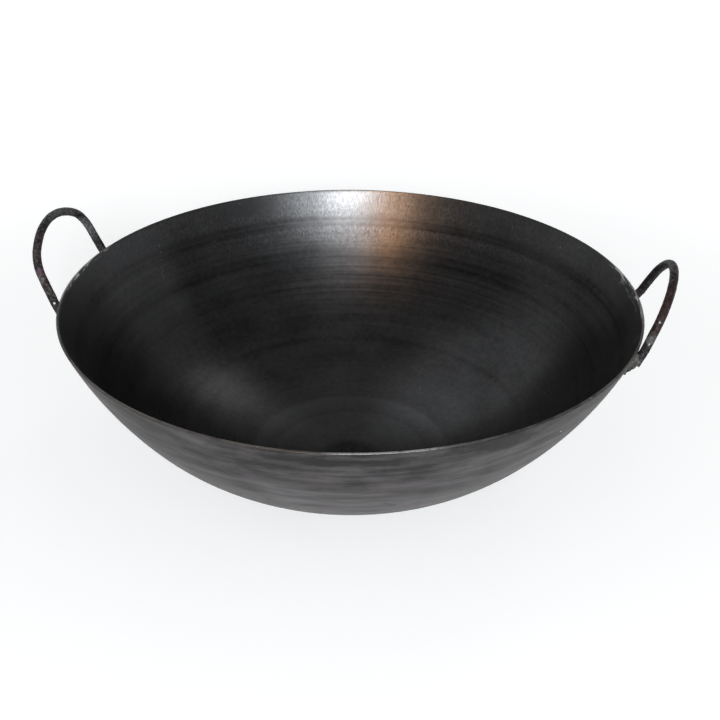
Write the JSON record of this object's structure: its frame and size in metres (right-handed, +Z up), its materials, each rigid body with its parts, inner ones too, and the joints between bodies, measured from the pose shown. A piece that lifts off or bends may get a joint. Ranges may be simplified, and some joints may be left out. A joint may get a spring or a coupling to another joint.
{
  "type": "round-bottom wok",
  "caption": "Deep round-bottom wok of blackened sheet steel with a bent rod loop handle welded on at each side.",
  "frame": {"origin": "lowest point of the round bottom, on the axis of the bowl", "axes": "+Z up through the open rim, X through the two handles with the left one at -X"},
  "size_m": [0.5031, 0.46, 0.1996],
  "materials": {
    "sheet_steel": "blackened carbon steel, satin, with fine spinning lines",
    "rod_steel": "dark scaled steel rod, brown in places",
    "weld_metal": "rough dark weld metal"
  },
  "bodies": {
    "root": {"bowl": "sheet_steel", "left_handle": "rod_steel", "right_handle": "rod_steel", "left_front_weld": "weld_metal", "left_rear_weld": "weld_metal", "right_front_weld": "weld_metal", "right_rear_weld": "weld_metal"}
  },
  "joints": []
}
